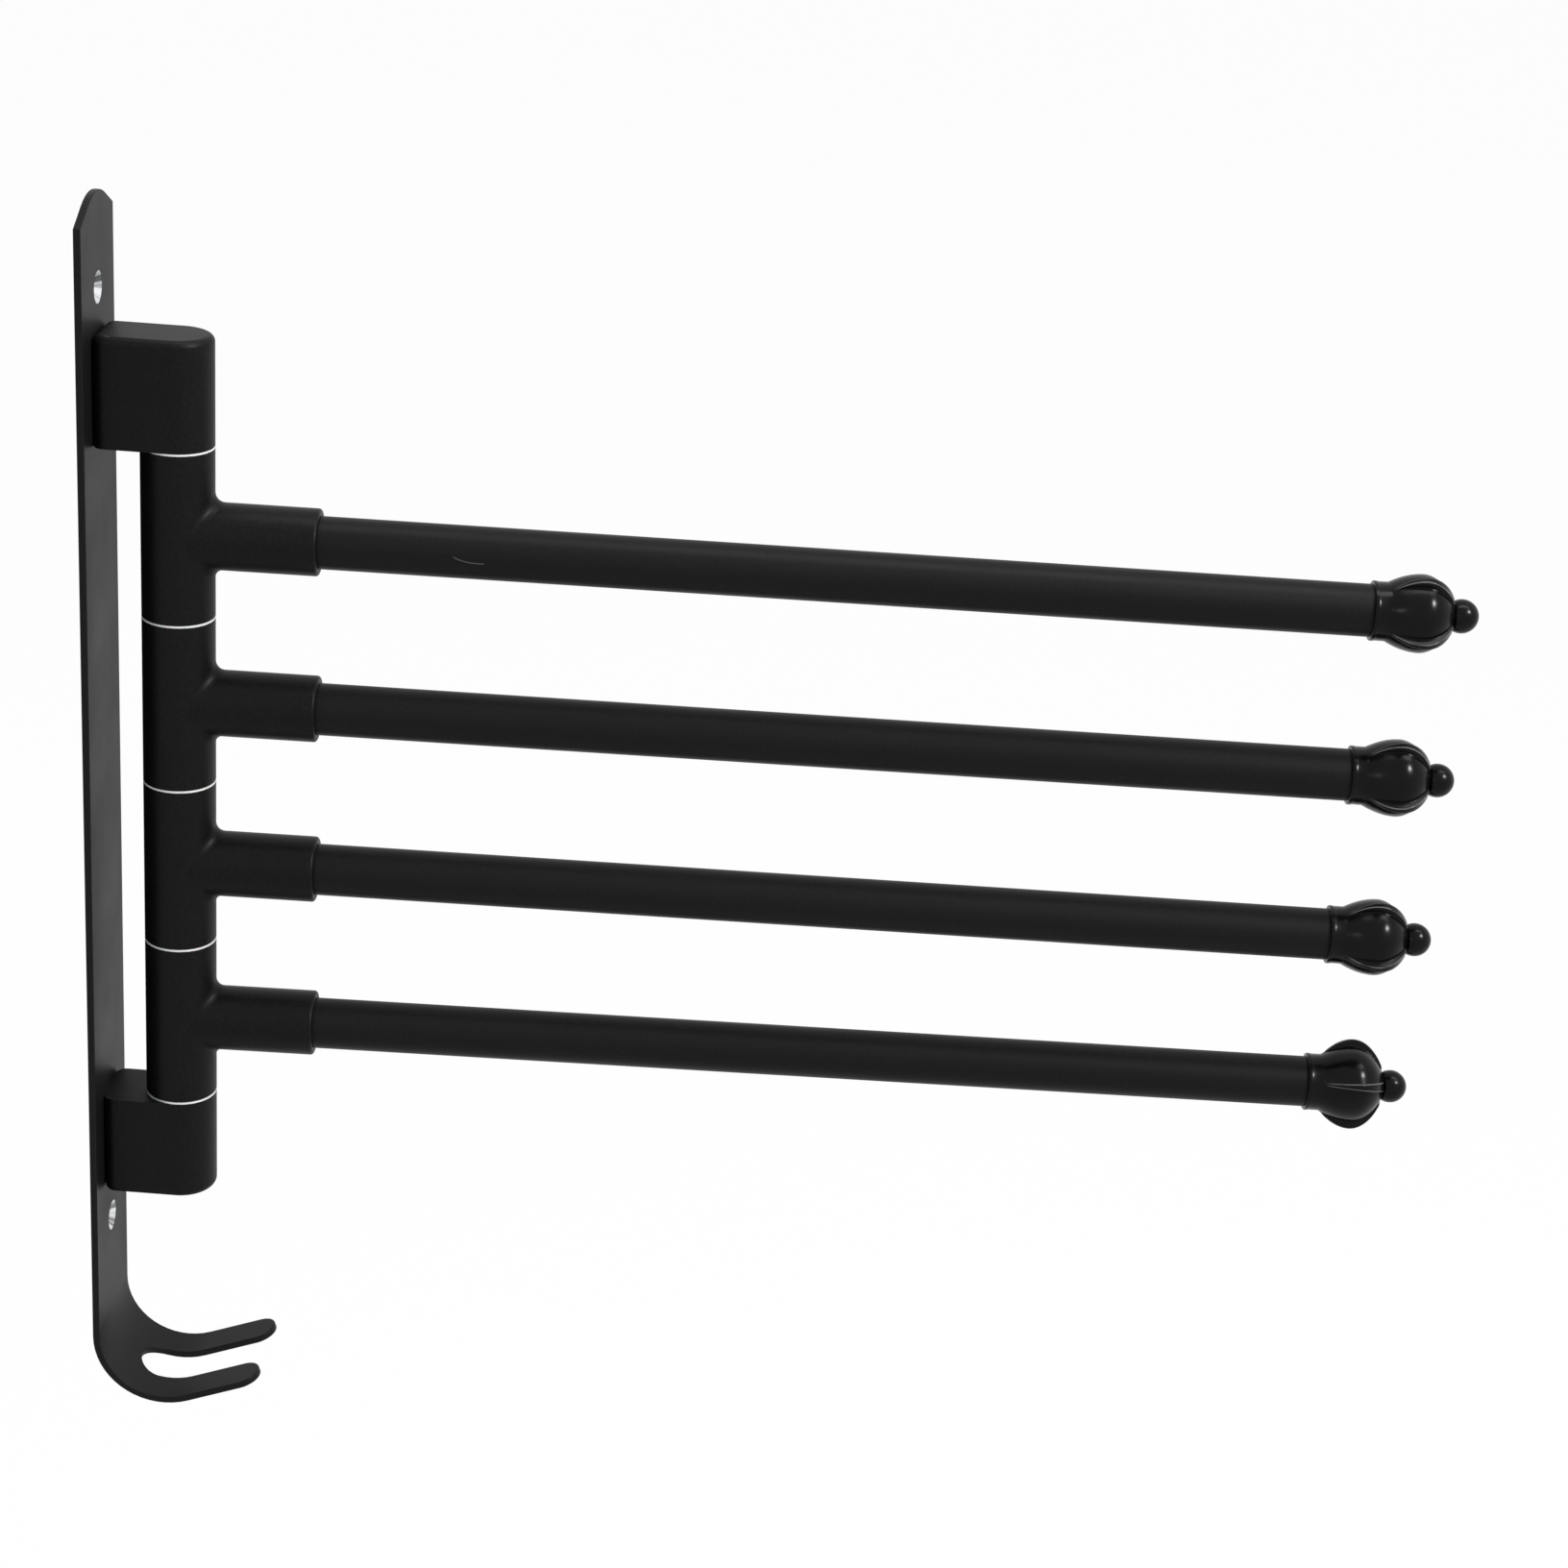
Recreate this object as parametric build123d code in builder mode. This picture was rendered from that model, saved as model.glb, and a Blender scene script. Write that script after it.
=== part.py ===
"""Wall towel rack: a wall plate with a double hook at its foot, two brackets that hold an
upright steel bolt, and four arms that swing about that bolt. Millimetres throughout.

X runs along the wall, +Y goes into the wall and +Z is up. The origin is on the wall face,
midway between the two wall screws. Each arm is made lying along -Y from its own pivot, and
is then turned to the angle at which it rests."""
import os
from math import cos, radians, sin, sqrt

from build123d import *

os.makedirs("parts", exist_ok=True)

# Wall plate: one strip of aluminium, bent forward at its foot
plate_width = 40.0
plate_thickness = 2.2
plate_corner_z = 174.9
peak_rise = 9.75
peak_radius = 24.0
plate_edge_radius = 0.4
wall_screw_spacing = 307.5
wall_hole_radius = 3.0
wall_countersink_radius = 4.9
countersink_angle = 90.0

# Double hook: the bend, the rising tail and the slot that parts its two prongs
bend_centre_z = -187.9
bend_radius = 22.9
tail_rise_angle = 20.3
tail_length = 24.2
slot_width = 15.6
slot_end_angle = 79.0
prong_tip_flat = 0.4

# Pivot stack: knuckles of the arms with nylon washers between them
pivot_to_wall = 25.2
arm_rest_angles = (1.6, 1.65, 1.55, 2.15)
arm_pitch = 53.3
first_washer_z = 107.75
spacer_thickness = 0.6
face_gap = 0.05
running_clearance = 0.05
seat_clearance = 0.02

# Brackets: blocks with a round nose that is flush with the knuckles
knuckle_radius = 11.07
bracket_height = 33.6
bracket_back_radius = 3.5
bracket_edge_radius = 2.2
bracket_screw_spread = 18.0
bolt_seat_depth = 20.0

# Pivot bolt with its socket head, and the lock washer under the head
bolt_radius = 4.0
bolt_head_radius = 6.5
bolt_head_height = 8.0
bolt_edge = 0.6
socket_across_flats = 6.0
socket_depth = 4.0
lock_washer_thickness = 1.6
head_recess = 1.4
counterbore_clearance = 0.6

# Countersunk screws that hold the brackets from behind the plate
bracket_screw_radius = 2.0
bracket_screw_head_radius = 3.8
bracket_screw_length = 14.0
bracket_screw_drive = 2.5
bracket_screw_drive_depth = 1.2

# Arm: cast knuckle with a sleeve, tube, bushes
arm_below_knuckle_top = 27.0
bore_radius = 5.0
bush_length = 12.0
sleeve_radius = 10.2
sleeve_reach = 42.6
sleeve_fillet = 3.2
sleeve_end_radius = 1.0
knuckle_edge_radius = 0.3
tube_radius = 8.0
tube_wall = 1.0
tube_start = 14.0
tube_end = 357.7

# Finial: collar, bulb with four fins, and a ball, moulded in one with its spigot
spigot_length = 14.0
collar_radius = 9.1
collar_length = 4.8
collar_edge = 0.5
bulb_cheek = 8.0
bulb_cheek_radius = 10.7
bulb_radius = 11.9
bulb_widest = 15.0
dome_end = 24.3
dome_end_radius = 4.8
ball_radius = 5.2
ball_centre = 27.4
fin_count = 4
fin_turns = (27.0, 24.0, 21.5, 67.7)
fin_radius = 14.3
fin_root = 5.0
fin_root_radius = 9.0
fin_shoulder = 9.3
fin_shoulder_radius = 12.5
fin_brow = 20.6
fin_brow_radius = 11.9
fin_end_radius = 6.1
fin_root_thickness = 0.9
fin_tip_thickness = 3.0

overrun = 5.0

# Places that follow from the sizes above
half_width = plate_width / 2
knuckle_height = arm_pitch - spacer_thickness - 2 * face_gap
arm_count = len(arm_rest_angles)
washer_heights = [first_washer_z - arm_pitch * row for row in range(arm_count + 1)]
upper_bracket_bottom = washer_heights[0] + spacer_thickness / 2 + face_gap
lower_bracket_top = washer_heights[-1] - spacer_thickness / 2 - face_gap
lower_bracket_bottom = lower_bracket_top - bracket_height
bolt_head_bottom = lower_bracket_bottom + head_recess
bolt_head_top = bolt_head_bottom + bolt_head_height
counterbore_top = bolt_head_top + lock_washer_thickness
bolt_top = upper_bracket_bottom + bolt_seat_depth
bracket_centres = (upper_bracket_bottom + bracket_height / 2, lower_bracket_top - bracket_height / 2)
bracket_screw_heights = [
    centre + side * bracket_screw_spread / 2 for centre in bracket_centres for side in (1, -1)
]
rising = (Align.CENTER, Align.CENTER, Align.MIN)
sinking = (Align.CENTER, Align.CENTER, Align.MAX)


def save(name, part):
    """Label a finished piece and write it under its own name."""
    part.label = name
    export_step(part, f"parts/{name}.step")


# Wall plate. Its side outline is drawn in the upright plane across the wall: the back runs
# down the wall, round the bend and up the tail, and the front follows it one thickness in.
bend_centre = (-bend_radius, bend_centre_z)
bend_turn = 90 + tail_rise_angle
tail_direction = 180 - tail_rise_angle
peak_z = plate_corner_z + peak_rise

with BuildPart() as wall_plate:
    with BuildSketch(Plane.YZ):
        with BuildLine():
            back = Line((0, peak_z), (0, bend_centre_z))
            outer_bend = CenterArc(bend_centre, bend_radius, 0, -bend_turn)
            outer_tail = PolarLine(outer_bend @ 1, tail_length, tail_direction)
            inner_bend = CenterArc(bend_centre, bend_radius - plate_thickness, 0, -bend_turn)
            inner_tail = PolarLine(inner_bend @ 1, tail_length, tail_direction)
            Line(outer_tail @ 1, inner_tail @ 1)
            front = Line((-plate_thickness, peak_z), (-plate_thickness, bend_centre_z))
            Line(back @ 0, front @ 0)
        make_face()
    extrude(amount=half_width, both=True)

    # The top is cut to a blunt point: two slanted shoulders and a round tip
    with BuildSketch(Plane.XZ.offset(-overrun)):
        with BuildLine():
            shoulder = FilletPolyline(
                (-half_width - overrun, plate_corner_z - peak_rise * overrun / half_width),
                (0, peak_z),
                (half_width + overrun, plate_corner_z - peak_rise * overrun / half_width),
                radius=peak_radius,
            )
            Polyline(
                shoulder @ 0,
                (-half_width - overrun, peak_z + overrun),
                (half_width + overrun, peak_z + overrun),
                shoulder @ 1,
            )
        make_face()
    extrude(amount=2 * overrun + plate_thickness, mode=Mode.SUBTRACT)

    # The slot starts with a round end on the bend and runs out through the tail
    slot_normal = (cos(radians(slot_end_angle)), -sin(radians(slot_end_angle)))
    slot_reach = bend_radius + overrun
    slot_foot = (bend_centre[0] + slot_reach * slot_normal[0], bend_centre[1] + slot_reach * slot_normal[1])
    slot_far = (outer_tail @ 1).X - overrun
    with BuildSketch(Plane.YZ):
        with BuildLine():
            Polyline(bend_centre, slot_foot, (slot_far, slot_foot[1]), (slot_far, bend_centre_z), close=True)
        make_face()
    extrude(amount=slot_width / 2, both=True, mode=Mode.SUBTRACT)
    with BuildSketch(Plane((0, *bend_centre), x_dir=(1, 0, 0), z_dir=(0, *slot_normal))):
        Circle(slot_width / 2)
    extrude(amount=slot_reach, mode=Mode.SUBTRACT)

    # The prongs end round, and every edge of the strip is softened
    tail_normal = (0, sin(radians(tail_rise_angle)), cos(radians(tail_rise_angle)))
    prong_width = (plate_width - slot_width) / 2
    tip_edges = wall_plate.edges().filter_by(Axis((0, 0, 0), tail_normal))
    fillet(tip_edges, (prong_width - prong_tip_flat) / 2)
    fillet(wall_plate.edges(), plate_edge_radius)

    # Wall screw holes, countersunk from the front
    with Locations(
        *[
            Plane((0, -plate_thickness, side * wall_screw_spacing / 2), x_dir=(1, 0, 0), z_dir=(0, -1, 0))
            for side in (1, -1)
        ]
    ):
        CounterSinkHole(wall_hole_radius, wall_countersink_radius, counter_sink_angle=countersink_angle)

    # Bracket screw holes, countersunk from the back
    with Locations(*[Plane((0, 0, z), x_dir=(1, 0, 0), z_dir=(0, 1, 0)) for z in bracket_screw_heights]):
        CounterSinkHole(
            bracket_screw_radius + seat_clearance,
            bracket_screw_head_radius,
            counter_sink_angle=countersink_angle,
        )
save("wall_plate", wall_plate.part)


def bracket_block(bottom, soft_face):
    """A block from the plate to the pivot, with a round nose about the pivot. The face that
    points away from the arms, top or bottom, has the soft edge."""
    with BuildPart() as block:
        with BuildSketch(Plane.XY.offset(bottom)):
            with Locations((0, -(plate_thickness + pivot_to_wall) / 2)):
                Rectangle(2 * knuckle_radius, pivot_to_wall - plate_thickness)
            with Locations((0, -pivot_to_wall)):
                Circle(knuckle_radius)
        extrude(amount=bracket_height)
        fillet(block.edges().filter_by(Axis.Z).group_by(Axis.Y)[-1], bracket_back_radius)
        soft_edges = block.faces().filter_by(Axis.Z).sort_by(Axis.Z)[soft_face].edges()
        plain_edges = soft_edges.group_by(Axis.Y)[-1]
        fillet([edge for edge in soft_edges if edge not in plain_edges], bracket_edge_radius)
        with Locations(
            *[
                Plane((0, -plate_thickness, z), x_dir=(1, 0, 0), z_dir=(0, 1, 0))
                for z in bracket_screw_heights
                if bottom < z < bottom + bracket_height
            ]
        ):
            Hole(bracket_screw_radius + seat_clearance, bracket_screw_length - plate_thickness)
    return block.part


# Upper bracket, with the blind threaded seat of the bolt
with BuildPart() as upper_bracket:
    add(bracket_block(upper_bracket_bottom, -1))
    with Locations((0, -pivot_to_wall, upper_bracket_bottom)):
        Cylinder(
            bolt_radius + seat_clearance, bolt_seat_depth + seat_clearance,
            align=rising, mode=Mode.SUBTRACT,
        )
save("upper_bracket", upper_bracket.part)

# Lower bracket, bored through, with a counterbore below for the bolt's head
with BuildPart() as lower_bracket:
    add(bracket_block(lower_bracket_bottom, 0))
    with Locations((0, -pivot_to_wall, lower_bracket_bottom)):
        Cylinder(bolt_radius + seat_clearance, bracket_height, align=rising, mode=Mode.SUBTRACT)
        Cylinder(
            bolt_head_radius + counterbore_clearance,
            counterbore_top - lower_bracket_bottom,
            align=rising,
            mode=Mode.SUBTRACT,
        )
save("lower_bracket", lower_bracket.part)

# Four countersunk screws from behind the plate, one group
head_depth = bracket_screw_head_radius - bracket_screw_radius
with BuildPart() as bracket_screws:
    for z in bracket_screw_heights:
        with BuildSketch(Plane.YZ):
            with BuildLine():
                Polyline(
                    (0, z),
                    (0, z + bracket_screw_head_radius - seat_clearance),
                    (-head_depth, z + bracket_screw_radius),
                    (-bracket_screw_length, z + bracket_screw_radius),
                    (-bracket_screw_length, z),
                    close=True,
                )
            make_face()
        revolve(axis=Axis((0, 0, z), (0, 1, 0)))
        with BuildSketch(Plane((0, 0, z), x_dir=(1, 0, 0), z_dir=(0, 1, 0))):
            RegularPolygon(bracket_screw_drive / 2, 6, major_radius=False)
        extrude(amount=-bracket_screw_drive_depth, mode=Mode.SUBTRACT)
save("bracket_screws", bracket_screws.part)

# Pivot bolt: socket head in the lower bracket, shank up into the upper bracket
with BuildPart() as pivot_bolt:
    with Locations((0, -pivot_to_wall, bolt_head_bottom)):
        Cylinder(bolt_head_radius, bolt_head_height, align=rising)
    chamfer(pivot_bolt.edges().sort_by(Axis.Z)[0], bolt_edge)
    with Locations((0, -pivot_to_wall, bolt_head_top)):
        Cylinder(bolt_radius, bolt_top - bolt_head_top, align=rising)
    chamfer(pivot_bolt.edges().sort_by(Axis.Z)[-1], bolt_edge)
    with BuildSketch(Plane((0, -pivot_to_wall, bolt_head_bottom), z_dir=(0, 0, 1))):
        RegularPolygon(socket_across_flats / 2, 6, major_radius=False)
    extrude(amount=socket_depth, mode=Mode.SUBTRACT)
save("pivot_bolt", pivot_bolt.part)

# Lock washer between the bolt's head and the counterbore's face
with BuildPart() as pivot_lock_washer:
    with Locations((0, -pivot_to_wall, bolt_head_top)):
        Cylinder(bolt_head_radius, lock_washer_thickness, align=rising)
        Cylinder(bolt_radius + seat_clearance, lock_washer_thickness, align=rising, mode=Mode.SUBTRACT)
save("pivot_lock_washer", pivot_lock_washer.part)

# Nylon spacer washers above, between and below the knuckles
for number, height in enumerate(washer_heights, 1):
    with BuildPart() as spacer_washer:
        with Locations((0, -pivot_to_wall, height)):
            Cylinder(knuckle_radius, spacer_thickness)
            Cylinder(bolt_radius + running_clearance, spacer_thickness, mode=Mode.SUBTRACT)
    save(f"spacer_washer_{number}", spacer_washer.part)

# The arm's pieces, in the arm's own frame: pivot upright through the origin, arm along -Y
knuckle_top = arm_below_knuckle_top
knuckle_bottom = knuckle_top - knuckle_height

# Knuckle: an upright barrel with a sleeve, cast in one
with BuildPart() as knuckle:
    with Locations((0, 0, knuckle_bottom)):
        Cylinder(knuckle_radius, knuckle_height, align=rising)
    with BuildSketch(Plane.XZ):
        Circle(sleeve_radius)
    extrude(amount=sleeve_reach)
    saddle = knuckle.edges().filter_by(GeomType.BSPLINE)
    fillet(saddle, sleeve_fillet)
    sleeve_rim = knuckle.faces().sort_by(Axis.Y)[0].edges()
    fillet(sleeve_rim, sleeve_end_radius)
    barrel_rims = knuckle.faces().filter_by(Axis.Z).edges()
    fillet(barrel_rims, knuckle_edge_radius)
    with Locations((0, 0, knuckle_bottom)):
        Cylinder(bore_radius, knuckle_height, align=rising, mode=Mode.SUBTRACT)
    with BuildSketch(Plane.XZ.offset(tube_start)):
        Circle(tube_radius + seat_clearance)
    extrude(amount=sleeve_reach - tube_start, mode=Mode.SUBTRACT)

# Tube: drawn round tube, seated on the socket's floor
with BuildPart() as tube:
    with BuildSketch(Plane.XZ.offset(tube_start)):
        Circle(tube_radius)
        Circle(tube_radius - tube_wall, mode=Mode.SUBTRACT)
    extrude(amount=tube_end - tube_start)

# Bushes: one pressed into each end of the knuckle's bore
with BuildPart() as upper_bush:
    with Locations((0, 0, knuckle_top)):
        Cylinder(bore_radius - seat_clearance, bush_length, align=sinking)
        Cylinder(bolt_radius + running_clearance, bush_length, align=sinking, mode=Mode.SUBTRACT)

with BuildPart() as lower_bush:
    with Locations((0, 0, knuckle_bottom)):
        Cylinder(bore_radius - seat_clearance, bush_length, align=rising)
        Cylinder(bolt_radius + running_clearance, bush_length, align=rising, mode=Mode.SUBTRACT)

# Finial, in its own frame: +Z points out of the tube, and the tube ends at the origin
spigot_radius = tube_radius - tube_wall - seat_clearance
ball_foot_radius = sqrt(ball_radius**2 - (ball_centre - dome_end) ** 2)
ball_tip = ball_centre + ball_radius

with BuildPart() as fin:
    with BuildSketch(Plane.XZ):
        with BuildLine():
            root = Line((0, fin_root), (fin_root_radius, fin_root))
            flank = Spline(
                root @ 1,
                (fin_shoulder_radius, fin_shoulder),
                (fin_radius, bulb_widest),
                (fin_brow_radius, fin_brow),
                (fin_end_radius, dome_end),
                tangents=[(1, 1), (-2, 1)],
            )
            Polyline(flank @ 1, (0, dome_end), root @ 0)
        make_face()
    extrude(amount=fin_tip_thickness / 2, both=True)
    with BuildSketch(Plane.YZ):
        Polygon(
            (-fin_root_thickness / 2, fin_root),
            (fin_root_thickness / 2, fin_root),
            (fin_tip_thickness / 2, dome_end),
            (-fin_tip_thickness / 2, dome_end),
            align=None,
        )
    extrude(amount=fin_radius + overrun, mode=Mode.INTERSECT)

with BuildPart() as finial:
    with BuildSketch(Plane.XZ):
        with BuildLine():
            collar = Polyline(
                (0, -spigot_length),
                (spigot_radius, -spigot_length),
                (spigot_radius, 0),
                (collar_radius - collar_edge, 0),
                (collar_radius, collar_edge),
                (collar_radius, collar_length),
            )
            flare = Spline(
                collar @ 1,
                (bulb_cheek_radius, bulb_cheek),
                (bulb_radius, bulb_widest),
                tangents=[(1, 2), (0, 1)],
            )
            dome = Spline(flare @ 1, (dome_end_radius, dome_end), tangents=[(0, 1), (-2, 1)])
            ledge = Line(dome @ 1, (ball_foot_radius, dome_end))
            ball = ThreePointArc(ledge @ 1, (ball_radius, ball_centre), (0, ball_tip))
            Line(ball @ 1, collar @ 0)
        make_face()
    revolve(axis=Axis.Z)
    with PolarLocations(0, fin_count):
        add(fin.part)

# The four arms, each turned about the pivot to its rest angle
for number, (rest_angle, fin_turn, height) in enumerate(zip(arm_rest_angles, fin_turns, washer_heights), 1):
    arm_z = height - spacer_thickness / 2 - face_gap - arm_below_knuckle_top
    arm_place = Location((0, -pivot_to_wall, arm_z), (0, 0, rest_angle))
    finial_place = arm_place * Location((0, -tube_end, 0), (90, 0, 0)) * Location((0, 0, 0), (0, 0, fin_turn))
    for piece, shape, place in (
        ("knuckle", knuckle, arm_place),
        ("tube", tube, arm_place),
        ("upper_bush", upper_bush, arm_place),
        ("lower_bush", lower_bush, arm_place),
        ("finial", finial, finial_place),
    ):
        with BuildPart() as placed:
            with Locations(place):
                add(shape.part)
        save(f"arm_{number}_{piece}", placed.part)
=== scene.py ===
"""Looks of a wall towel rack: satin black plate, brackets, knuckles and tubes, white nylon
rings, and glossy black finials. Metres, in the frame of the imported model: X runs along the
wall, +Y goes into the wall, +Z is up, and the arms reach out along -Y."""
import math

import bmesh
import bpy
import numpy as np
from mathutils import Matrix, Vector
from mathutils.geometry import interpolate_bezier


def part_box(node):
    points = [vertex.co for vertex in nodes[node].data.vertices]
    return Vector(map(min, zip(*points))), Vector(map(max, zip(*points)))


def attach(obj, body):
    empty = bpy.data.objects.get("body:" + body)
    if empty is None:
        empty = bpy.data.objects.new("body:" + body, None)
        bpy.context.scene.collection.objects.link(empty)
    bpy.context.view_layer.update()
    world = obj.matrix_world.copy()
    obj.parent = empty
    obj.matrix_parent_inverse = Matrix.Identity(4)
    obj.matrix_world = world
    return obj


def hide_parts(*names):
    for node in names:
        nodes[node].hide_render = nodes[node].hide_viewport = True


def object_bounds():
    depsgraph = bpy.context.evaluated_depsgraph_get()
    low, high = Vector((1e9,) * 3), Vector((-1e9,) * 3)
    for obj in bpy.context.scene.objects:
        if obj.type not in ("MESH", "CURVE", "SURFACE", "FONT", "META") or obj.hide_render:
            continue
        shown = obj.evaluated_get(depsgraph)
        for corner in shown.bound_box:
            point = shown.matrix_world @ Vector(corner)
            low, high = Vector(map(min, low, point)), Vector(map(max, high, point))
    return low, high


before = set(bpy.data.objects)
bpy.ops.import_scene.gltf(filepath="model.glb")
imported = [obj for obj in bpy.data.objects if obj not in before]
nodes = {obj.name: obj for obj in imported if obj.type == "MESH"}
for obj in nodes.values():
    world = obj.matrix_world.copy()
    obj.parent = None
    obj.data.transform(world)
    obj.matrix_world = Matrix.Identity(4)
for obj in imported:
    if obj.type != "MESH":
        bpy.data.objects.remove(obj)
cad_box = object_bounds()

# Camera. It stands to the left of the rack and a little above it, so the arms reach to the
# right, and it is rolled a few degrees, as the photograph is.
camera_azimuth = math.radians(-88.89)
camera_elevation = math.radians(21.85)
camera_roll = math.radians(3.85)
camera_distance = 1.0047
camera_aim = Vector((0, -0.2110, 0.0144))

camera_back = Vector((
    math.sin(camera_azimuth) * math.cos(camera_elevation),
    -math.cos(camera_azimuth) * math.cos(camera_elevation),
    math.sin(camera_elevation),
))
level_right = Vector((math.cos(camera_azimuth), math.sin(camera_azimuth), 0))
camera_right = Matrix.Rotation(camera_roll, 3, camera_back) @ level_right
camera_up = camera_back.cross(camera_right)
camera_data = bpy.data.cameras.new("camera")
camera_data.sensor_width = 36
camera_data.lens = 75.52
camera = bpy.data.objects.new("camera", camera_data)
bpy.context.scene.collection.objects.link(camera)
camera_turn = Matrix((camera_right, camera_up, camera_back)).transposed().to_4x4()
camera.matrix_world = Matrix.Translation(camera_aim + camera_back * camera_distance) @ camera_turn
bpy.context.scene.camera = camera


# Studio. A white floor well below the rack, a round key lamp in front and above, a long soft
# one overhead and a weak one on the left. Camera and gloss both see a white surround.
def linear(colour):
    """An sRGB hex colour as linear RGBA."""
    channels = [int(colour[i:i + 2], 16) / 255 for i in (1, 3, 5)]
    return [c / 12.92 if c <= 0.04045 else ((c + 0.055) / 1.055) ** 2.4 for c in channels] + [1]


def add_node(tree, kind, settings=None, links=None):
    """A shader node with its settings, by attribute or input name, and its input links."""
    node = tree.nodes.new(kind)
    for name, value in (settings or {}).items():
        if isinstance(name, str) and hasattr(node, name):
            setattr(node, name, value)
        else:
            node.inputs[name].default_value = value
    for name, source in (links or {}).items():
        tree.links.new(source, node.inputs[name])
    return node


def maths(tree, operation, first, second=0.0):
    """One sum on two values, each a number or an output."""
    node = tree.nodes.new("ShaderNodeMath")
    node.operation = operation
    for socket, value in zip(node.inputs, (first, second)):
        if isinstance(value, (int, float)):
            socket.default_value = value
        else:
            tree.links.new(value, socket)
    return node.outputs[0]


def new_material(name):
    """An empty node material and its tree."""
    material = bpy.data.materials.new(name)
    material.use_nodes = True
    material.node_tree.nodes.clear()
    return material, material.node_tree


def seen_directly(tree):
    """1 for rays from the camera, off gloss and through glass, else 0."""
    path = add_node(tree, "ShaderNodeLightPath")
    seen = maths(tree, "MAXIMUM", path.outputs["Is Camera Ray"], path.outputs["Is Glossy Ray"])
    return maths(tree, "MAXIMUM", seen, path.outputs["Is Transmission Ray"])


world = bpy.data.worlds.new("studio")
world.use_nodes = True
tree = world.node_tree
tree.nodes.clear()
ambient = add_node(tree, "ShaderNodeBackground", {"Color": linear("#f2f4f6"), "Strength": 0.45})
surround = add_node(tree, "ShaderNodeBackground", {"Color": linear("#ffffff"), "Strength": 1.0})
world_mix = add_node(tree, "ShaderNodeMixShader", None,
                     {0: seen_directly(tree), 1: ambient.outputs[0], 2: surround.outputs[0]})
add_node(tree, "ShaderNodeOutputWorld", None, {"Surface": world_mix.outputs[0]})
bpy.context.scene.world = world

floor_drop = 0.45
floor_size = 30.0
floor_white = 0.96
floor_mesh = bpy.data.meshes.new("floor")
shape = bmesh.new()
bmesh.ops.create_grid(shape, size=floor_size / 2)
bmesh.ops.translate(shape, vec=(0, 0, cad_box[0][2] - floor_drop), verts=shape.verts)
shape.to_mesh(floor_mesh)
shape.free()
floor = bpy.data.objects.new("floor", floor_mesh)
bpy.context.scene.collection.objects.link(floor)
floor_material, tree = new_material("white_painted_floor")
paint = add_node(tree, "ShaderNodeBsdfDiffuse", {"Color": linear("#f6f6f6")})
glow = add_node(tree, "ShaderNodeEmission", {"Color": linear("#ffffff"), "Strength": 1.0})
floor_mix = add_node(tree, "ShaderNodeMixShader", None,
                     {0: maths(tree, "MULTIPLY", seen_directly(tree), floor_white),
                      1: paint.outputs[0], 2: glow.outputs[0]})
add_node(tree, "ShaderNodeOutputMaterial", None, {"Surface": floor_mix.outputs[0]})
floor_mesh.materials.append(floor_material)

for lamp_name, place, width, length, power in (
    ("key_lamp", Vector((-0.85, -1.62, 1.36)), 0.4, 0.4, 44.0),
    ("top_lamp", Vector((0, -0.6, 2.1)), 0.6, 2.6, 26.0),
    ("side_lamp", Vector((-1.55, 0.75, 0.8)), 0.3, 0.3, 1.6),
):
    lamp_data = bpy.data.lights.new(lamp_name, "AREA")
    lamp_data.shape = "ELLIPSE"
    lamp_data.size = width
    lamp_data.size_y = length
    lamp_data.energy = power
    lamp = bpy.data.objects.new(lamp_name, lamp_data)
    bpy.context.scene.collection.objects.link(lamp)
    lamp.location = place
    lamp.rotation_euler = (camera_aim - place).to_track_quat("-Z", "Y").to_euler()
bpy.context.scene.view_settings.view_transform = "Standard"


# Wall plate. Aluminium strip under a satin black powder coat. The coat is even, with fine
# orange peel and faint clouds in its sheen, and the two wall screw holes were countersunk
# after coating, so their cones are bright turned metal.
def noise(tree, place, size_mm, detail):
    """Noise with features of about that size."""
    settings = {"Scale": 1000 / size_mm, "Detail": detail}
    return add_node(tree, "ShaderNodeTexNoise", settings, {"Vector": place}).outputs["Fac"]


def ramp(tree, value, start, end, low, high):
    """The climb from low, for a value at start, to high, for a value at end."""
    ends = {"From Min": start, "From Max": end, "To Min": low, "To Max": high}
    return add_node(tree, "ShaderNodeMapRange", ends, {"Value": value}).outputs[0]


def blend(tree, share, first, second):
    """A mix of two colours, each a hex colour or an output."""
    node = add_node(tree, "ShaderNodeMix", {"data_type": "RGBA"}, {0: share})
    for socket, colour in zip(node.inputs[6:8], (first, second)):
        if isinstance(colour, str):
            socket.default_value = linear(colour)
        else:
            tree.links.new(colour, socket)
    return node.outputs[2]


def cover(tree, settings, shade, roughness, height, depth_mm):
    """The surface that ends a material, with its colour, roughness and relief."""
    relief = add_node(tree, "ShaderNodeBump", {"Distance": depth_mm / 1000}, {"Height": height})
    surface = add_node(tree, "ShaderNodeBsdfPrincipled", settings,
                       {"Base Color": shade, "Roughness": roughness, "Normal": relief.outputs[0]})
    add_node(tree, "ShaderNodeOutputMaterial", None, {"Surface": surface.outputs[0]})
    return surface


noise_low = 0.3
noise_high = 0.7


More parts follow.
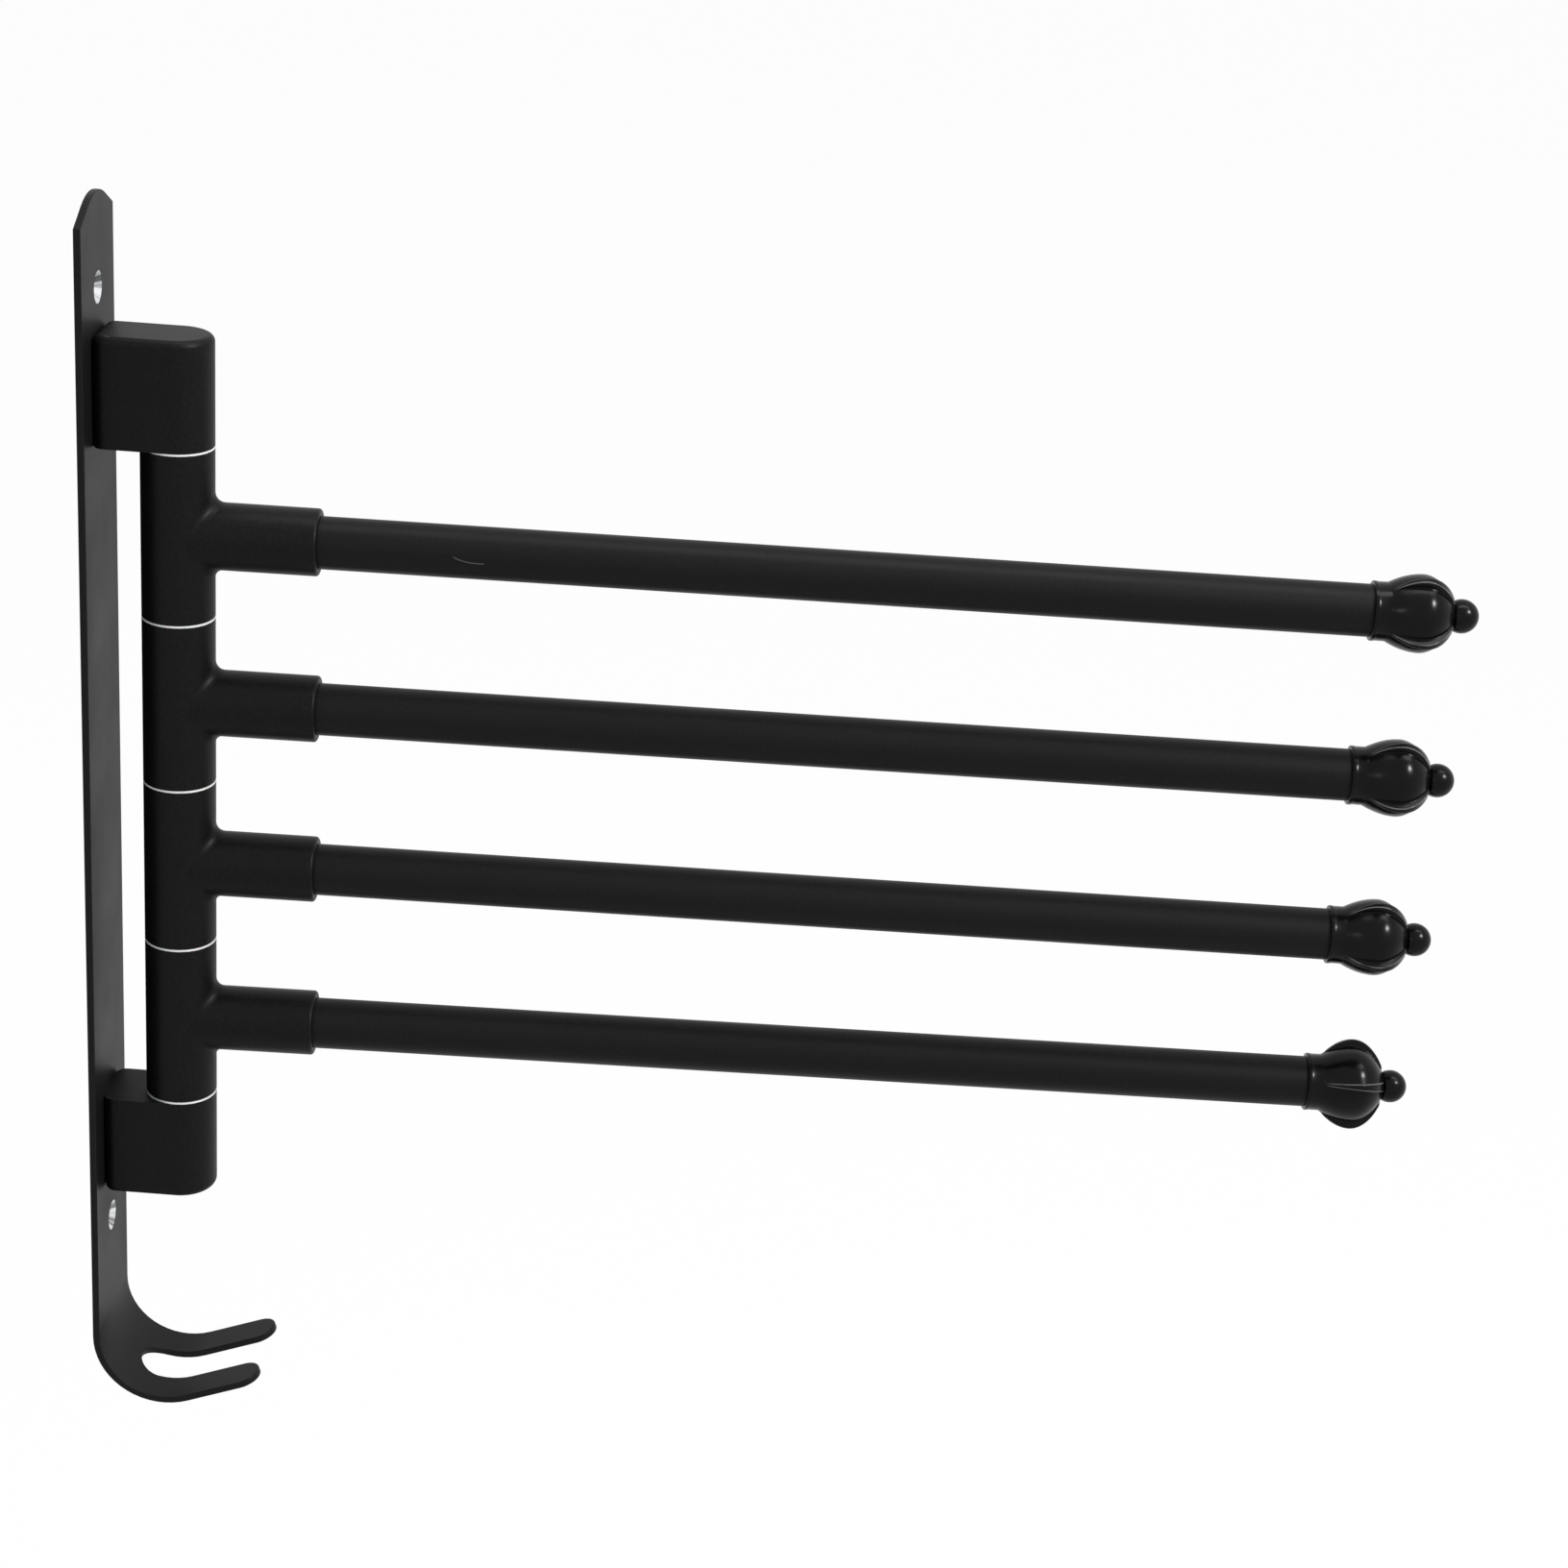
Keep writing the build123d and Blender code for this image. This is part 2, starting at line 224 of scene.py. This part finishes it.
def powder_coat(name, colour, roughness, peel_mm, relief_mm, mark=None, mark_finish=None):
    """Satin powder coat with orange peel of that size and depth. mark, given the tree and the
    object coordinates, returns the share of a mark whose colour, roughness and metallic
    value are mark_finish."""
    material, tree = new_material(name)
    place = add_node(tree, "ShaderNodeTexCoord").outputs["Object"]
    peel = noise(tree, place, peel_mm, 2.0)
    crest_start, crest_end, crest_share = 0.4, 0.8, 0.3
    crests = ramp(tree, peel, crest_start, crest_end, 0.0, crest_share)
    shade = blend(tree, crests, colour, "#202020")
    cloud_mm, cloud_swing = 35, 0.04
    clouds = noise(tree, place, cloud_mm, 3.0)
    sheen = ramp(tree, clouds, noise_low, noise_high, roughness - cloud_swing, roughness + cloud_swing)
    if mark:
        mark_colour, mark_roughness, mark_metallic = mark_finish
        share = mark(tree, place)
        shade = blend(tree, share, shade, mark_colour)
        sheen = add_node(tree, "ShaderNodeMix", {3: mark_roughness}, {0: share, 2: sheen}).outputs[0]
    coat = cover(tree, {"IOR": 1.5, "Specular IOR Level": 0.1}, shade, sheen, peel, relief_mm)
    if mark and mark_metallic:
        tree.links.new(share, coat.inputs["Metallic"])
    return material


def finish_node(name, material):
    """A CAD node takes a material in every slot."""
    slots = nodes[name].data.materials
    if not len(slots):
        slots.append(material)
    for index in range(len(slots)):
        slots[index] = material


wall_screw_height = 0.15375
countersink_radius = 0.00485
hole_land = 0.0002


def countersinks(tree, place):
    """The share of bare metal on the cones of the two wall screw holes. The tool chattered, so
    wedges of coat and of smeared metal take turns around each cone."""
    along = add_node(tree, "ShaderNodeSeparateXYZ", None, {0: place})
    rise = maths(tree, "SUBTRACT", maths(tree, "ABSOLUTE", along.outputs[2]), wall_screw_height)
    across = maths(tree, "POWER", along.outputs[0], 2.0)
    radius = maths(tree, "SQRT", maths(tree, "ADD", across, maths(tree, "POWER", rise, 2.0)))
    inside = maths(tree, "LESS_THAN", radius, countersink_radius)
    cone = maths(tree, "MULTIPLY", inside, maths(tree, "LESS_THAN", along.outputs[1], -hole_land))
    turn = maths(tree, "ARCTAN2", rise, along.outputs[0])
    wedges_per_radian, coated_below, bare_above, least_bare = 2.6, 0.42, 0.52, 0.4
    wedges = {"noise_dimensions": "1D", "Scale": wedges_per_radian, "Detail": 2.0}
    chatter = add_node(tree, "ShaderNodeTexNoise", wedges, {"W": turn}).outputs["Fac"]
    bare = ramp(tree, chatter, coated_below, bare_above, least_bare, 1.0)
    return maths(tree, "MULTIPLY", cone, bare)


# Near black, with a soft wide sheen; the bare cones catch the lamps as small bright bands.
plate_coat = powder_coat("powder_coated_aluminium_strip", "#101010", 0.46, 0.6, 0.012,
                         countersinks, ("#e2e4e6", 0.22, 1.0))
finish_node("wall_plate", plate_coat)

# Brackets and knuckles. Zinc castings under the same satin coat. It looks a little smoother
# and blacker on them, with slightly larger peel than on the rolled strip.
casting_coat = powder_coat("powder_coated_zinc_casting", "#090909", 0.45, 0.8, 0.012)
for name in nodes:
    if name.endswith("bracket") or name.endswith("knuckle"):
        finish_node(name, casting_coat)

# Tubes. Drawn tube with the same coat, a little duller, with a long soft highlight on top.
# The uppermost has a faint rubbed scuff on its left side, not far from the sleeve.
scuff_start = -0.1086
scuff_end = -0.1178
scuff_height = 0.07957
scuff_rise = 0.0016
scuff_width = 0.00022
scuff_strength = 0.7


def scuff(tree, place):
    """The share of a short curved rub, strongest on its middle line."""
    along = add_node(tree, "ShaderNodeSeparateXYZ", None, {0: place})
    run = ramp(tree, along.outputs[1], scuff_end, scuff_start, 0.0, 1.0)
    curve = maths(tree, "MULTIPLY", maths(tree, "POWER", run, 3.0), scuff_rise)
    middle = maths(tree, "ADD", curve, scuff_height)
    off_line = maths(tree, "ABSOLUTE", maths(tree, "SUBTRACT", along.outputs[2], middle))
    line = ramp(tree, off_line, scuff_width, 0.0, 0.0, scuff_strength)
    within = maths(tree, "COMPARE", along.outputs[1], (scuff_start + scuff_end) / 2)
    within.node.inputs[2].default_value = (scuff_start - scuff_end) / 2
    left = maths(tree, "LESS_THAN", along.outputs[0], 0.0)
    return maths(tree, "MULTIPLY", line, maths(tree, "MULTIPLY", within, left))


tube_coat = powder_coat("powder_coated_drawn_tube", "#0e0e0e", 0.46, 0.6, 0.01)
scuffed_coat = powder_coat("powder_coated_drawn_tube_scuffed", "#0e0e0e", 0.46, 0.6, 0.01,
                           scuff, ("#6a6a6a", 0.4, 0.0))
for name in nodes:
    if name.endswith("tube"):
        finish_node(name, scuffed_coat if name == "arm_1_tube" else tube_coat)


# Finials. Each is one glossy moulding that replaces its CAD node: a collar over the tube's
# end, a bulb with four fins that run from the collar to the ball, and the ball. Sizes here
# are millimetres in the finial's own frame, where +Z points out of the tube.
def span(*corners):
    """Points (radius, height) on one Bezier span: start, two handles and end."""
    span_points = 24
    curve = interpolate_bezier(*(Vector((*corner, 0)) for corner in corners), span_points)
    return [tuple(point.xy) for point in curve]


def radius_at(outline, height):
    """An outline's radius at a height."""
    radii, heights = zip(*outline)
    return float(np.interp(height, heights, radii))


bulb_start = 4.8
bulb_widest = 15.0
bulb_end = 24.15
bulb = span((9.0, bulb_start), (9.9, 6.6), (11.9, 10.5), (11.9, bulb_widest))
bulb += span((11.9, bulb_widest), (11.9, 18.6), (9.0, 22.2), (4.8, 24.3))[1:]
fin = span((9.0, 5.0), (11.2, 7.2), (14.28, 10.6), (14.28, bulb_widest))
fin += span((14.28, bulb_widest), (14.28, 18.6), (11.3, 22.0), (6.1, 24.3))[1:]
neck_start = bulb_end + 0.12
fin_root_half = 0.45
fin_tip_half = 1.5
fin_edge = 0.35
fin_foot = 0.25
fin_blend = 0.6
ball_radius = 5.2
ball_centre = 27.4
ring_pitch = 0.35
spigot_outline = [(6.98, -14.0), (6.98, 0.0)]
collar_outline = [(8.7, 0.0), (8.95, 0.08), (9.1, 0.3), (9.1, 1.1), (9.02, 1.35), (8.96, 1.6)]
collar_outline.append((8.96, 4.3))
neck_outline = [(4.3, 24.36), (4.22, 24.5), (4.32, 24.66)]

bulb_heights = [*np.arange(bulb_start, bulb_end, ring_pitch), bulb_end, neck_start]
bulb_rings = [(radius_at(bulb, height), height) for height in bulb_heights]
ball_rings = []
for turn in np.radians(np.arange(-30, 88, 7)):
    ball_rings.append((ball_radius * math.cos(turn), ball_centre + ball_radius * math.sin(turn)))
finial_rings = spigot_outline + collar_outline + bulb_rings + neck_outline + ball_rings


def quarter_section(body, height):
    """A quarter of one ring: half a fin with rounded edge and filleted foot, bare body, and
    half of the next fin. Where there is no fin, the points lie on the body's circle. Each
    point is (out, side, polish), where polish is the share of a painted highlight, above 0
    on the fin's rounded edges only."""
    rise = radius_at(fin, height) if fin[0][1] < height <= bulb_end else 0.0
    half = float(np.interp(height, (fin[0][1], fin[-1][1]), (fin_root_half, fin_tip_half)))
    slim = min(1.0, body / ball_radius)
    edge, foot = fin_edge * slim, fin_foot * slim
    half = max(half, fin_edge + 0.05) * slim
    share = min(1.0, max(0.0, (rise - body) / fin_blend))
    crest = math.sqrt(max(rise, body) ** 2 - (half - edge) ** 2) - edge
    ground = math.sqrt(body ** 2 - (half + foot) ** 2)
    steps = np.radians((0, 30, 60, 90))
    raised = [(max(rise, body), 0.0)]
    raised += [(crest + edge * math.cos(a), half - edge + edge * math.sin(a)) for a in steps]
    raised += [(ground + foot - foot * math.sin(a), half + foot - foot * math.cos(a)) for a in steps]
    low_sides = [0.0, *np.linspace(half - edge, half + foot, 2 * len(steps))]
    section = []
    for index, ((out, side), low_side) in enumerate(zip(raised, low_sides)):
        low_out = math.sqrt(body ** 2 - low_side ** 2)
        out = low_out + (out - low_out) * share
        side = low_side + (side - low_side) * share
        # Points 2 and 3 lie on the fin's rounded edge; their third value is the share of a painted
        # highlight there.
        section.append((out, side, share if index in (2, 3) else 0.0))
    foot_turn = math.asin((half + foot) / body)
    arc_points = 12
    turns = np.linspace(foot_turn, math.pi / 2 - foot_turn, arc_points)[1:-1]
    arc = [(body * math.cos(a), body * math.sin(a), 0.0) for a in turns]
    return section + arc + [(side, out, polish) for out, side, polish in reversed(section[1:])]


def finial_shape():
    """The finial as a closed shape of rings, in millimetres."""
    shape = bmesh.new()
    # This layer holds the share of a painted highlight on the fins' rounded edges.
    highlight_layer = shape.verts.layers.float.new("painted_highlight_edge")
    rings = []
    for body, height in finial_rings:
        quarter = quarter_section(body, height)
        ring = []
        for number in range(4):
            spin = Matrix.Rotation(number * math.pi / 2, 3, "Z")
            for out, side, polish in quarter:
                ring.append(shape.verts.new(spin @ Vector((out, side, height))))
                ring[-1][highlight_layer] = polish
        rings.append(ring)
    for low, high in zip(rings, rings[1:]):
        for index, corner in enumerate(low):
            after = (index + 1) % len(low)
            shape.faces.new((corner, low[after], high[after], high[index]))
    foot = shape.verts.new((0, 0, finial_rings[0][1]))
    tip = shape.verts.new((0, 0, ball_centre + ball_radius))
    for index in range(len(rings[0])):
        after = (index + 1) % len(rings[0])
        shape.faces.new((foot, rings[0][after], rings[0][index]))
        shape.faces.new((tip, rings[-1][index], rings[-1][after]))
    for face in shape.faces:
        face.smooth = True
    return shape


def gloss_plastic(name, colour):
    """Polished moulded plastic. Near black with crisp round highlights, softened a little by
    shallow ripples and by patches with less polish. The rounded edges of the fins carry a
    painted highlight, unevenly pale, that draws thin light lines."""
    material, tree = new_material(name)
    place = add_node(tree, "ShaderNodeTexCoord").outputs["Object"]
    ripple_mm, ripple_depth_mm, best_polish, worst_polish = 5, 0.08, 0.19, 0.26
    ripple = noise(tree, place, ripple_mm, 1.0)
    polish = ramp(tree, ripple, noise_low, noise_high, best_polish, worst_polish)
    # Painted highlight: thin pale lines along the fins' rounded edges, uneven in strength.
    edges = add_node(tree, "ShaderNodeAttribute", {"attribute_name": "painted_highlight_edge"}).outputs["Fac"]
    full_highlight_above, faintest_highlight = 0.6, 0.25
    highlight_strength = ramp(tree, ripple, noise_low, full_highlight_above, faintest_highlight, 1.0)
    painted_highlight = maths(tree, "MULTIPLY", edges, highlight_strength)
    shade = blend(tree, painted_highlight, blend(tree, ripple, colour, "#0a0a0a"), "#666666")
    gloss = {"IOR": 1.49, "Specular IOR Level": 0.12}
    cover(tree, gloss, shade, polish, ripple, ripple_depth_mm)
    return material


finial_plastic = gloss_plastic("polished_black_plastic", "#040404")
crease_angle = math.radians(60)
pivot_to_wall = 0.0252
tube_end = 0.3577
fin_turns = (27.0, 24.0, 21.5, 67.7)
for number, fin_turn in enumerate(fin_turns, 1):
    low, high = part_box(f"arm_{number}_tube")
    middle = (low + high) / 2
    swing = math.atan2(middle.x, -(middle.y + pivot_to_wall))
    shape = finial_shape()
    place = Matrix.Translation((0, -pivot_to_wall, middle.z)) @ Matrix.Rotation(swing, 4, "Z")
    place = place @ Matrix.Translation((0, -tube_end, 0)) @ Matrix.Rotation(math.pi / 2, 4, "X")
    place = place @ Matrix.Rotation(math.radians(fin_turn), 4, "Z") @ Matrix.Scale(0.001, 4)
    bmesh.ops.transform(shape, matrix=place, verts=shape.verts)
    mesh = bpy.data.meshes.new(f"finial_{number}")
    shape.to_mesh(mesh)
    shape.free()
    mesh.set_sharp_from_angle(angle=crease_angle)
    mesh.materials.append(finial_plastic)
    finial = bpy.data.objects.new(f"finial_{number}", mesh)
    bpy.context.scene.collection.objects.link(finial)
    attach(finial, f"arm_{number}")
    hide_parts(f"arm_{number}_finial")


# Spacer washers and bushes. White nylon. It is slightly cool and waxy, lets a little light
# in, and its faces have the fine marks of turning and the grey of some running in.
def nylon(name, colour, worn_colour):
    """Turned nylon."""
    material, tree = new_material(name)
    place = add_node(tree, "ShaderNodeTexCoord").outputs["Object"]
    rub_mm, rub_depth_mm, smoothest, roughest = 4, 0.01, 0.38, 0.55
    rub = noise(tree, place, rub_mm, 3.0)
    shade = blend(tree, rub, colour, worn_colour)
    polish = ramp(tree, rub, 0.0, 1.0, smoothest, roughest)
    waxy = {"IOR": 1.53, "Subsurface Weight": 0.15, "Subsurface Scale": 0.001}
    cover(tree, waxy, shade, polish, rub, rub_depth_mm)
    return material


white_nylon = nylon("natural_nylon", "#e4e4e2", "#c8c8c6")
for name in nodes:
    if name.startswith("spacer") or name.endswith("bush"):
        finish_node(name, white_nylon)


# Bolt, lock washer and bracket screws. Zinc plated steel. It is bright and faintly blue, with
# a fine crystalline mottle in its gloss and small dull spots from handling.
def plated_steel(name, colour, dull_colour):
    """Bright zinc plate."""
    material, tree = new_material(name)
    place = add_node(tree, "ShaderNodeTexCoord").outputs["Object"]
    crystal_mm, crystal_depth_mm = 0.7, 0.004
    crystals = add_node(tree, "ShaderNodeTexVoronoi", {"Scale": 1000 / crystal_mm}, {"Vector": place})
    blotch_mm, brightest, dullest = 5, 0.22, 0.4
    blotches = noise(tree, place, blotch_mm, 4.0)
    shade = blend(tree, blotches, colour, dull_colour)
    polish = ramp(tree, blotches, 0.0, 1.0, brightest, dullest)
    cover(tree, {"Metallic": 1.0}, shade, polish, crystals.outputs["Distance"], crystal_depth_mm)
    return material


zinc = plated_steel("zinc_plated_steel", "#c6cace", "#a8acb2")
for name in ("pivot_bolt", "pivot_lock_washer", "bracket_screws"):
    finish_node(name, zinc)
